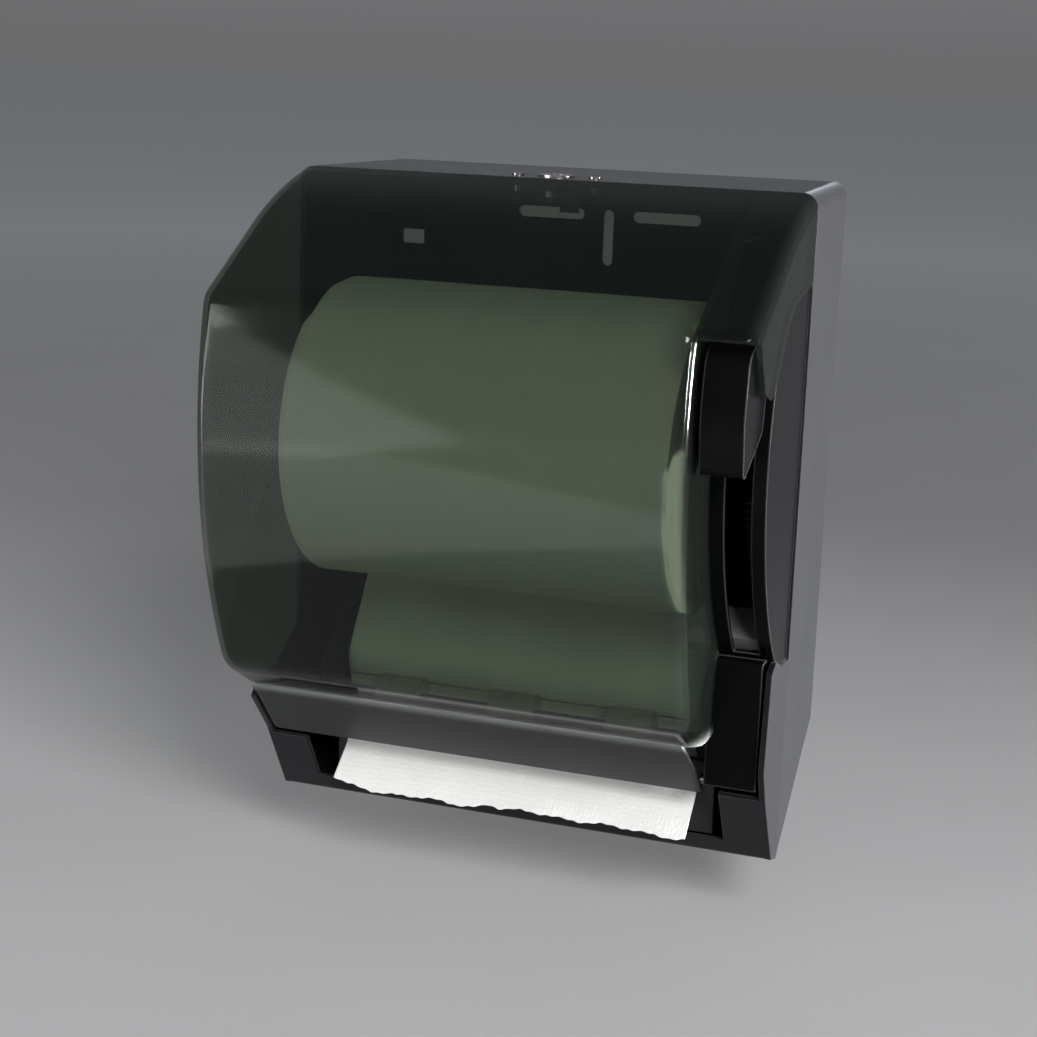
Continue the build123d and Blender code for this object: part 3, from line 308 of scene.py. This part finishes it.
# Towel roll: white embossed paper, wound tight on the core and held between the two hubs.
# Its windings show as rings at both ends, and the outer turn lies a little uneven.
ROLL = Vector((0.0, -143.0, 6.0)) * MM
ROLL_R = 79.5 * MM
ROLL_BORE = 20.2 * MM
TOWEL_HALF = 101.5 * MM
RINGS = 46                  # of windings that show at each end
ALONG = 40                  # rows of points along the roll
TURNS = 144                 # points round it
RING_STEP = 0.35 * MM
RING_SWELL = 0.5 * MM       # a slow wave over the rings
SLACK = 0.8 * MM
CREASED_FROM = 0.045        # the outer turn lies more uneven from here to the right end
CREASED_OVER = 0.056
STEP = 2.2 * MM             # of the last turns at the left end
STEP_DEPTH = 9 * MM
RAGGED = (52.0, 78.0)       # degrees round the roll from its front
PAPER_DEEP = (0.68, 0.68, 0.657)
PAPER_PALE = (0.83, 0.83, 0.816)
PAPER_ENDS_SHADE = (0.36, 0.36, 0.345)   # painted shade: the ends are darkened as if shade fell in the gaps between the windings
EMBOSS = 420.0              # dots to the metre
CREPE = 1300.0


def piece(name, mesh, material):
    """A new object from a bmesh, in the scene, with its finish."""
    data = bpy.data.meshes.new(name)
    mesh.to_mesh(data)
    mesh.free()
    data.materials.append(material)
    data.polygons.foreach_set("use_smooth", [True] * len(data.polygons))
    made = bpy.data.objects.new(name, data)
    bpy.context.scene.collection.objects.link(made)
    return made


def towel_paper(start, across, along):
    """Embossed paper, from the places across and along the sheet in metres."""
    sheet = start.node("CombineXYZ", {}, {"X": across, "Y": along})
    crepe_way = start.node("CombineXYZ", {}, {"X": across * 0.25, "Y": along})
    dots = start.node("TexVoronoi", {"feature": "SMOOTH_F1"},
                      {"Vector": sheet, "Scale": EMBOSS, "Randomness": 0.35, "Smoothness": 0.4})
    crepe = start.node("TexNoise", {}, {"Vector": crepe_way, "Scale": CREPE, "Detail": 3.0})
    cloud = start.node("TexNoise", {}, {"Vector": sheet, "Scale": 45.0, "Detail": 4.0})
    return {
        "Base Color": shade(cloud * 0.7 + crepe * 0.3, PAPER_DEEP, PAPER_PALE),
        "Roughness": 0.86 + 0.10 * cloud,
        "Normal": relief(dots + 0.5 * crepe + 0.8 * cloud, 0.45 * MM, 0.85),
    }


def wound_paper(start):
    place = start.node("TexCoord", output="Object")
    spot = {way: start.node("SeparateXYZ", {}, {"Vector": place}, output=way) for way in "XYZ"}
    angle = start.maths("ARCTAN2", spot["Z"] - ROLL.z, ROLL.y - spot["Y"])
    facing = start.node("NewGeometry", output="Normal")
    facing = start.node("SeparateXYZ", {}, {"Vector": facing}, output="X")
    facing = start.maths("ABSOLUTE", facing, 0.0)
    painted_end_shade = start.node("MapRange", {}, {"Value": facing, "From Min": 0.5, "From Max": 0.8})
    paper = towel_paper(start, spot["X"], angle * ROLL_R)
    # Painted shade: the roll's end faces are darkened.
    paper["Base Color"] = mix(painted_end_shade, paper["Base Color"], (*PAPER_ENDS_SHADE, 1.0))
    return paper


winding = bmesh.new()
corners = [(-TOWEL_HALF, ROLL_BORE), (-TOWEL_HALF, ROLL_R), (TOWEL_HALF, ROLL_R), (TOWEL_HALF, ROLL_BORE)]
verts = [winding.verts.new((x, ROLL.y, ROLL.z + radius)) for x, radius in corners]
sides = [winding.edges.new((verts[i], verts[(i + 1) % 4])) for i in range(4)]
bmesh.ops.subdivide_edges(winding, edges=[sides[0], sides[2]], cuts=RINGS)
bmesh.ops.subdivide_edges(winding, edges=[sides[1]], cuts=ALONG)
for vert in winding.verts:
    ring = (vert.co.z - ROLL.z - ROLL_BORE) / (ROLL_R - ROLL_BORE) * (RINGS + 1)
    if abs(vert.co.x) > TOWEL_HALF - 1e-6:
        drawn_in = RING_STEP * (round(ring) % 2) + RING_SWELL * (1 - math.cos(ring * 0.55)) / 2
        vert.co.x -= math.copysign(drawn_in, vert.co.x)
bmesh.ops.spin(winding, geom=winding.verts[:] + winding.edges[:], cent=ROLL, axis=(1, 0, 0),
               angle=2 * math.pi, steps=TURNS, use_merge=True)
bmesh.ops.remove_doubles(winding, verts=winding.verts, dist=1e-6)
bmesh.ops.recalc_face_normals(winding, faces=winding.faces)
for vert in winding.verts:
    arm = vert.co - Vector((vert.co.x, ROLL.y, ROLL.z))
    if arm.length > ROLL_R - 1e-4:
        angle = math.atan2(arm.z, -arm.y)
        lump = math.sin(3 * angle + 22 * vert.co.x) + 0.6 * math.sin(7 * angle - 61 * vert.co.x + 1.0)
        near_right = max(0.0, vert.co.x - CREASED_FROM) / CREASED_OVER
        lump += 1.4 * near_right * math.sin(17 * angle + 38 * vert.co.x)
        vert.co -= arm.normalized() * SLACK * (0.5 + lump / 6)
    if vert.co.x < -TOWEL_HALF + 2 * MM and arm.length > ROLL_R - STEP_DEPTH:
        turn = math.degrees(math.atan2(arm.z, -arm.y))
        vert.co.x += STEP * sum(1 / (1 + math.exp(start - turn)) for start in RAGGED)
towel = finish("wound_towel_paper", {"IOR": 1.45, "Sheen Weight": 0.15}, wound_paper)
wound_towel = piece("wound_towel", winding, towel)
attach(wound_towel, "roll")
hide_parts("towel_roll")

# Towel web: the sheet that comes off the back of the roll and goes forward over the drive sleeves
# to the nip. It is pulled only lightly, so it lies in soft shallow waves.
CASE_TOP = 140.0            # above the frame's origin
ROLL_SPOT = Vector((143.0, 134.0))
DRIVE = Vector((111.868, 269.732))
NIP_ANGLE = math.radians(30.0)
SHEET_ON_ROLL = 80.05       # radius of the sheet's middle on the roll, and on the drive sleeves
SHEET_ON_DRIVE = 18.55
SHEET = 0.4 * MM
WEB_WAVE = 1.3
WEB_GRID = (90, 60)          # points across and along the sheet


def sheet_place(x, out, down):
    """A point in the frame from millimetres out of the wall and below the case's top."""
    return Vector((x, -out * MM, (CASE_TOP - down) * MM))


def round_spot(centre, radius, angle):
    """A point at an angle round a centre, from straight out towards straight down."""
    return centre + radius * Vector((math.cos(angle), math.sin(angle)))


def flat_paper(start):
    place = start.node("TexCoord", output="Object")
    spot = {way: start.node("SeparateXYZ", {}, {"Vector": place}, output=way) for way in "XYZ"}
    return towel_paper(start, spot["X"], spot["Z"] * 1.2)


def towel_sheet(name, length, grid, place):
    """A sheet of towel from a grid, each point put where place(x, millimetres along) says."""
    mesh = bmesh.new()
    bmesh.ops.create_grid(mesh, x_segments=grid[0], y_segments=grid[1], size=0.5)
    for vert in mesh.verts:
        vert.co = place(vert.co.x * 2 * TOWEL_HALF, (vert.co.y + 0.5) * length)
    bmesh.ops.recalc_face_normals(mesh, faces=mesh.faces)
    made = piece(name, mesh, sheet_towel)
    thickness = made.modifiers.new("paper", "SOLIDIFY")
    thickness.thickness = SHEET
    thickness.offset = 0.0
    return made


apart = DRIVE - ROLL_SPOT
touch = math.atan2(apart.y, apart.x) + math.acos((SHEET_ON_ROLL + SHEET_ON_DRIVE) / apart.length)
leave = round_spot(ROLL_SPOT, SHEET_ON_ROLL, touch)
land = round_spot(DRIVE, SHEET_ON_DRIVE, touch + math.pi)
run = (land - leave).length
web_way = (land - leave) / run
web_face = Vector((web_way.y, -web_way.x))
WEB_LENGTH = run + SHEET_ON_DRIVE * (NIP_ANGLE - (touch - math.pi))


def web_place(x, gone):
    if gone > run:
        spot = round_spot(DRIVE, SHEET_ON_DRIVE, touch - math.pi + (gone - run) / SHEET_ON_DRIVE)
    else:
        share = gone / run
        wave = math.sin(95 * x + 2.2 * share) + 0.7 * math.sin(41 * x - 4.0 * share + 1.0)
        spot = leave + web_way * gone + web_face * (WEB_WAVE * wave * math.sin(math.pi * share) ** 1.5)
    return sheet_place(x, spot.x, spot.y)


sheet_towel = finish("sheet_towel_paper", {"IOR": 1.45, "Sheen Weight": 0.15}, flat_paper)
web = towel_sheet("towel_in_path", WEB_LENGTH, WEB_GRID, web_place)
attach(web, "chassis")
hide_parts("towel_web")

# Towel tail: the end of the sheet below the nip. It turns down behind the pinch wheels and the tear
# bar, curls forward in the chute, and ends in the uneven edge that the bar's teeth tore.
NIP_SPACING = 30.1          # from the drive shaft to the pinch shaft
PINCH = round_spot(DRIVE, NIP_SPACING, NIP_ANGLE)
SHEET_ON_PINCH = 11.55
TAIL_TOP = PINCH - Vector((SHEET_ON_PINCH, 0.0))
TAIL_CORNER = Vector((TAIL_TOP.x, 316.0))
TAIL_END = Vector((152.0, 338.0))
TAIL_R = 20.0
TEAR_PITCH = 5.0            # of the bar's teeth
TEAR = 0.9
TORN_CORNER = -84.0         # left of here the tear runs off the sheet
NICK = -9.0                 # where the tear went deepest
TAIL_WAVE = 1.1
TAIL_GRID = (240, 48)

curl = math.atan2(TAIL_END.x - TAIL_CORNER.x, TAIL_END.y - TAIL_CORNER.y)
tangent = TAIL_R * math.tan(curl / 2)
hang = TAIL_CORNER.y - TAIL_TOP.y - tangent
bend = TAIL_R * curl
flare = (TAIL_END - TAIL_CORNER).length - tangent
round_pinch = SHEET_ON_PINCH * NIP_ANGLE
TAIL_LENGTH = round_pinch + hang + bend + flare


def torn_edge(x):
    """How much of the tail the tear took off at x, in millimetres."""
    along = x / MM
    teeth = abs((along / TEAR_PITCH) % 1.0 - 0.5) * 2
    rag = math.sin(0.19 * along) * math.sin(0.071 * along + 1.0) + 0.25 * math.sin(0.83 * along)
    corner = max(0.0, TORN_CORNER - along) ** 2 * 0.010
    nick = 2.2 * math.exp(-((along - NICK) / 5.0) ** 2)
    return 2.0 + TEAR * (0.15 * teeth + 1.3 * rag) + corner + nick + 0.8 * math.sin(0.03 * along)


def tail_place(x, gone):
    gone *= 1 - torn_edge(x) / TAIL_LENGTH
    if gone < round_pinch:
        spot = round_spot(PINCH, SHEET_ON_PINCH, math.pi + NIP_ANGLE - gone / SHEET_ON_PINCH)
        return sheet_place(x, spot.x, spot.y)
    gone -= round_pinch
    free = max(0.0, gone - hang) / (bend + flare)
    ripple = TAIL_WAVE * free * (math.sin(46 * x + 0.6) + 0.6 * math.sin(97 * x))
    if gone <= hang:
        return sheet_place(x, TAIL_TOP.x, TAIL_TOP.y + gone)
    turn = min(gone - hang, bend) / TAIL_R
    out = TAIL_TOP.x + TAIL_R * (1 - math.cos(turn))
    down = TAIL_TOP.y + hang + TAIL_R * math.sin(turn)
    past = max(0.0, gone - hang - bend)
    out += past * math.sin(curl) + ripple * math.cos(turn)
    down += past * math.cos(curl) - ripple * math.sin(turn)
    return sheet_place(x, out, down)


tail = towel_sheet("towel_tail_sheet", TAIL_LENGTH, TAIL_GRID, tail_place)
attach(tail, "chassis")
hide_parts("towel_tail")

# Lock: the bright barrel and core in the top, with a slotted screw at each side. It is cast zinc
# with bright plating, polished on the rim and worn round the keyway.
CHROME_DEEP = (0.36, 0.355, 0.34)
CHROME_PALE = (0.55, 0.545, 0.52)


def bright_plating(start):
    cloud = noise(start, 260.0, 4.0)
    lines = noise(start, 2400.0, 2.0, (1.0, 0.1, 1.0))
    return {
        "Base Color": shade(cloud, CHROME_DEEP, CHROME_PALE),
        "Roughness": 0.10 + 0.16 * cloud,
        "Normal": relief(lines, 0.02 * MM, 0.3),
    }


dress(finish("bright_plating", {"Metallic": 1.0}, bright_plating), "lock_body", "lock_core", "lock_screws")

# Front cover: one smoke-tinted clear moulding, hinged at its foot and locked at the top. Its walls
# pass about a third of the light, a little greener than it came, and are polished outside.
SMOKE_PASS = (0.900, 0.957, 0.870)
SMOKE_BODY = 0.45
SMOKE_RIM = 0.45            # more body where a wall is seen edge-on
APRON_BODY = 0.46           # and in the thick apron below the crease
# The walls turn less clear along the crease so that its painted highlight shows.
CREASE_BODY = 0.25
CREASE_Z = -136.0 * MM
CREASE_REACH = 8.0 * MM
APRON_EDGE = 2.0 * MM
APRON_ROUGH = 0.3
SMOKE_DEEP = (0.003, 0.004, 0.0035)
SMOKE_PALE = (0.006, 0.0075, 0.0065)
# Painted highlight: the pale tone painted along the crease in place of the light it reflects.
CREASE_PAINTED_SHINE = (0.22, 0.232, 0.228)


def above_crease(start):
    """How high a point is above the crease of the cover, in metres."""
    place = start.node("TexCoord", output="Object")
    return start.node("SeparateXYZ", {}, {"Vector": place}, output="Z") - CREASE_Z


def apron(start):
    """1 on the thick apron below the crease, and 0 above it."""
    return start.node("MapRange", {},
                      {"Value": above_crease(start), "From Min": APRON_EDGE, "From Max": -APRON_EDGE})


def painted_crease_shine(start):
    """The painted highlight along the crease, from 0 to 1, broken into streaks."""
    away = start.maths("ABSOLUTE", above_crease(start), 0.0)
    near = start.node("MapRange", {"interpolation_type": "SMOOTHSTEP"},
                      {"Value": away, "From Min": CREASE_REACH, "From Max": 0.0})
    streaks = noise(start, 60.0, 3.0, (0.4, 3.0, 3.0))
    return near * near * (0.4 + streaks)


def polished_smoke(start):
    flow = noise(start, 14.0, 3.0, (1.0, 1.0, 0.5))
    haze = noise(start, 160.0, 4.0)
    return {
        # Painted highlight: the cover's tone turns pale along the crease.
        "Base Color": mix(painted_crease_shine(start), shade(haze, SMOKE_DEEP, SMOKE_PALE), (*CREASE_PAINTED_SHINE, 1.0)),
        "Roughness": 0.05 + 0.07 * haze + APRON_ROUGH * apron(start),
        "Normal": relief(flow, 1.0 * MM, 0.06),
    }


smoke = finish("smoke_cover", {"IOR": 1.47}, polished_smoke)
tree = smoke.node_tree
clear = tree.nodes.new("ShaderNodeBsdfTransparent")
clear.inputs["Color"].default_value = (*SMOKE_PASS, 1.0)
walls = tree.nodes.new("ShaderNodeMixShader")
body = Value(tree)
slant = body.node("LayerWeight", {}, {"Blend": 0.5}, output="Facing")
body = SMOKE_BODY + SMOKE_RIM * (slant * slant * slant * slant) + APRON_BODY * apron(body)
# Along the crease the walls turn less clear, so the painted highlight shows.
body = body + CREASE_BODY * painted_crease_shine(body)
tree.links.new(body.socket, walls.inputs["Fac"])
tree.links.new(clear.outputs["BSDF"], walls.inputs[1])
tree.links.new(tree.nodes["Principled BSDF"].outputs["BSDF"], walls.inputs[2])
tree.links.new(walls.outputs["Shader"], tree.nodes["Material Output"].inputs["Surface"])
dress(smoke, "front_cover")

# Floor: a plain pale studio surface, wide enough for every view, painted paler far off where the lamps'
# light doesn't reach.
# It lies just below the cover when that hangs open, lower than the closed part.
FLOOR_Z = -0.2545
FLOOR_DEEP = (0.39, 0.39, 0.395)
FLOOR_PALE = (0.42, 0.42, 0.425)
# Painted light: far off, the floor is painted paler in place of light the lamps don't throw so far.
FLOOR_FAR_PAINTED_LIGHT = (0.80, 0.80, 0.81)
FLOOR_NEAR_R = 1.0          # it turns paler from here to the far radius, in metres
FLOOR_FAR_R = 4.0
FLOOR_HALF = 30.0


def studio_floor(start):
    cloud = noise(start, 6.0, 2.0)
    place = start.node("TexCoord", output="Object")
    away = start.node("VectorMath", {"operation": "LENGTH"}, {0: place}, output="Value")
    far_painted_light = start.node("MapRange", {}, {"Value": away, "From Min": FLOOR_NEAR_R, "From Max": FLOOR_FAR_R})
    # Painted light: paler with distance from the part.
    tone = mix(far_painted_light, shade(cloud, FLOOR_DEEP, FLOOR_PALE), (*FLOOR_FAR_PAINTED_LIGHT, 1.0))
    return {"Base Color": tone, "Roughness": 0.7 + 0.1 * cloud}


ground = bmesh.new()
bmesh.ops.create_grid(ground, x_segments=8, y_segments=8, size=FLOOR_HALF)
bmesh.ops.translate(ground, verts=ground.verts, vec=(0, 0, FLOOR_Z))
floor = piece("floor", ground, finish("studio_floor", {"Specular IOR Level": 0.0}, studio_floor))

# Light: a soft box at the front right, one with a grid level with the right side, and cards at the left.
# The room is as pale as the far floor at the horizon, paler above it and darker overhead.
AIM = Vector((0.0, -0.14, -0.05))
FAR_ROOM = (0.145, 0.146, 0.150)
PALE_ROOM = (0.25, 0.255, 0.265)
DARK_ROOM = (0.15, 0.155, 0.165)
RIGHT_AIM = (0.0, -0.14, -0.02)
RIGHT_GRID = math.radians(30)
STRIP_AIM = (-0.098, -0.05, 0.1552)
PANEL_TILT = math.radians(33)
CARD_AIM = (-0.54, -0.7001, 1.0)
CARD_TILT = math.radians(45)


def soft_box(name, place, size, watts, tilt=0.0, aim=AIM, grid=math.pi):
    """An area light at a place, turned to a point, whose grid limits its spread."""
    lamp = bpy.data.lights.new(name, "AREA")
    lamp.shape = "RECTANGLE"
    lamp.size, lamp.size_y = size
    lamp.energy = watts
    lamp.spread = grid
    stand = bpy.data.objects.new(name, lamp)
    facing = (Vector(aim) - Vector(place)).to_track_quat("-Z", "Y").to_matrix().to_4x4()
    stand.matrix_world = Matrix.Translation(place) @ facing @ Matrix.Rotation(tilt, 4, "Z")
    stand.visible_camera = False
    bpy.context.scene.collection.objects.link(stand)


soft_box("front_box", (1.50, -2.10, 1.38), (1.0, 1.0), 77.0)
soft_box("right_box", (3.1, 0.30, -0.05), (0.9, 0.38), 18.0, aim=RIGHT_AIM, grid=RIGHT_GRID)
soft_box("left_panel", (-0.80, -0.95, -0.13), (0.9, 0.62), 3.7, PANEL_TILT)
soft_box("left_strip", (-0.898, -0.860, 0.0752), (0.9, 0.14), 2.8, PANEL_TILT, STRIP_AIM)
soft_box("floor_card", (-0.54, -0.70, -0.2145), (0.85, 0.85), 2.5, CARD_TILT, CARD_AIM)

room = bpy.data.worlds.new("studio")
room.use_nodes = True
bpy.context.scene.world = room
sky = Value(room.node_tree)
way = sky.node("TexCoord", output="Generated")
height = sky.node("SeparateXYZ", {}, {"Vector": way}, output="Z")
rise = sky.node("MapRange", {}, {"Value": height, "From Min": 0.0, "From Max": 0.2})
overhead = sky.node("MapRange", {}, {"Value": height, "From Min": 0.25, "From Max": 0.8})
tone = mix(overhead, shade(rise, FAR_ROOM, PALE_ROOM), (*DARK_ROOM, 1.0))
room.node_tree.links.new(tone.socket, room.node_tree.nodes["Background"].inputs["Color"])
bpy.context.scene.view_settings.view_transform = "Standard"

# Camera: where the photograph was taken from, a little to the right and above, with a slight tilt.
CAMERA_PLACE = (0.3442, -1.1267, 0.2035)
CAMERA_TURN = math.radians(19.26)
CAMERA_PITCH = math.radians(90 - 12.94)
CAMERA_TILT = math.radians(1.99)
CAMERA_LENS = 70.33
CAMERA_FILM = 36.0

lens = bpy.data.cameras.new("photo_camera")
lens.lens = CAMERA_LENS
lens.sensor_width = CAMERA_FILM
camera = bpy.data.objects.new("photo_camera", lens)
turn = Matrix.Rotation(CAMERA_TURN, 4, "Z") @ Matrix.Rotation(CAMERA_PITCH, 4, "X")
camera.matrix_world = Matrix.Translation(CAMERA_PLACE) @ turn @ Matrix.Rotation(CAMERA_TILT, 4, "Z")
bpy.context.scene.collection.objects.link(camera)
bpy.context.scene.camera = camera
